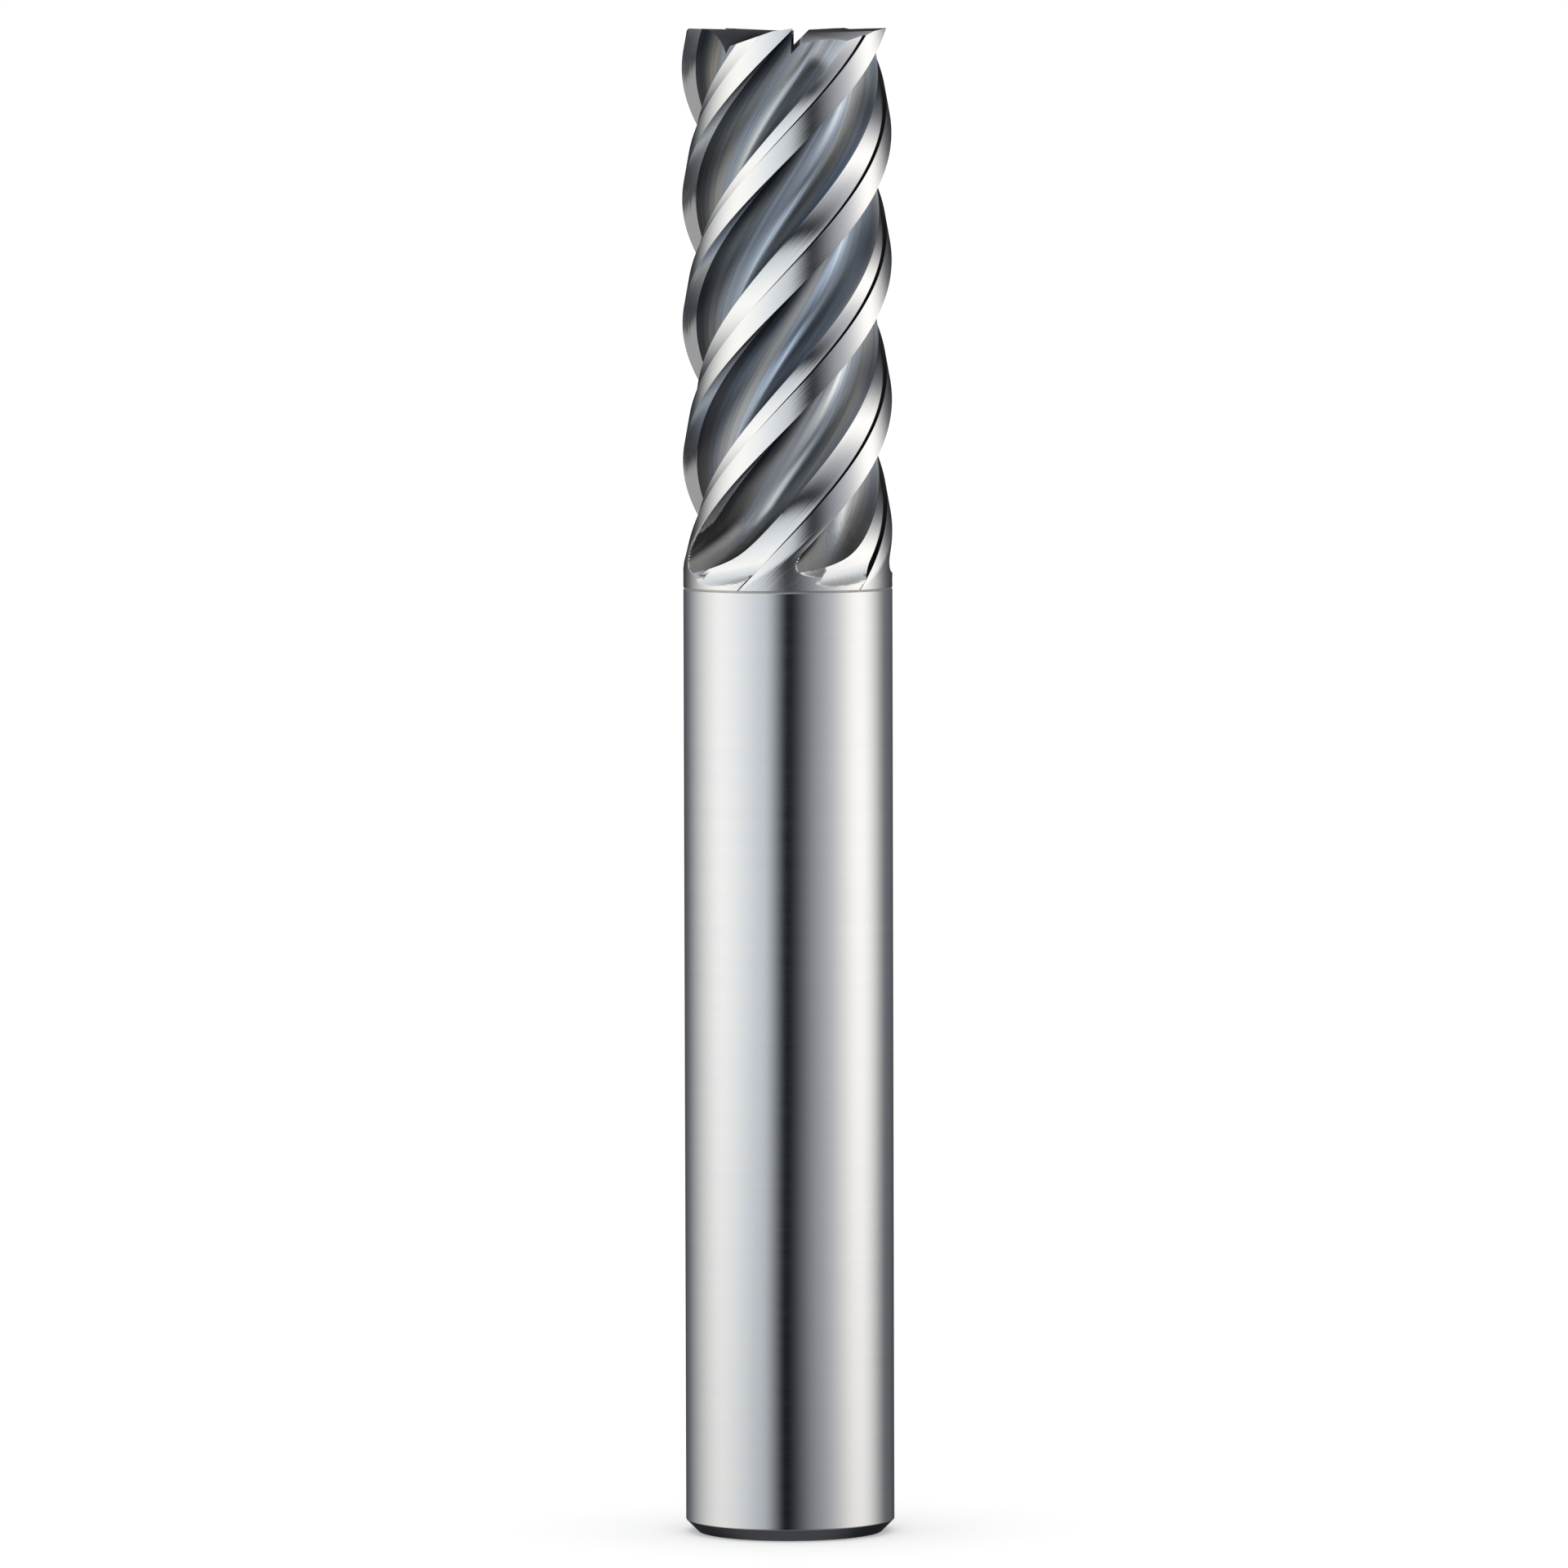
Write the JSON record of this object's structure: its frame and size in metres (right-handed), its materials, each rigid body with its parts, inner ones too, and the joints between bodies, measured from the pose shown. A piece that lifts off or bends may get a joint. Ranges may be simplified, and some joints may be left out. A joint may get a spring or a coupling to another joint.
{
  "type": "end mill",
  "caption": "Square-end milling cutter with a plain cylindrical shank, helical flutes, gashed end teeth and a chamfered shank end.",
  "frame": {"origin": "centre of the shank's flat end face", "axes": "+Z along the tool's axis, from the shank to the cutting end; +X and +Y lie in the end face"},
  "size_m": [0.01, 0.01, 0.072],
  "materials": {
    "shank": "fine ground, bright",
    "braze_joint": "silver braze, slightly tarnished",
    "cutting_head": "ground cemented carbide, bright lands and darker flutes"
  },
  "bodies": {
    "root": {"shank": "shank", "braze_joint": "braze_joint", "cutting_head": "cutting_head"}
  },
  "joints": []
}
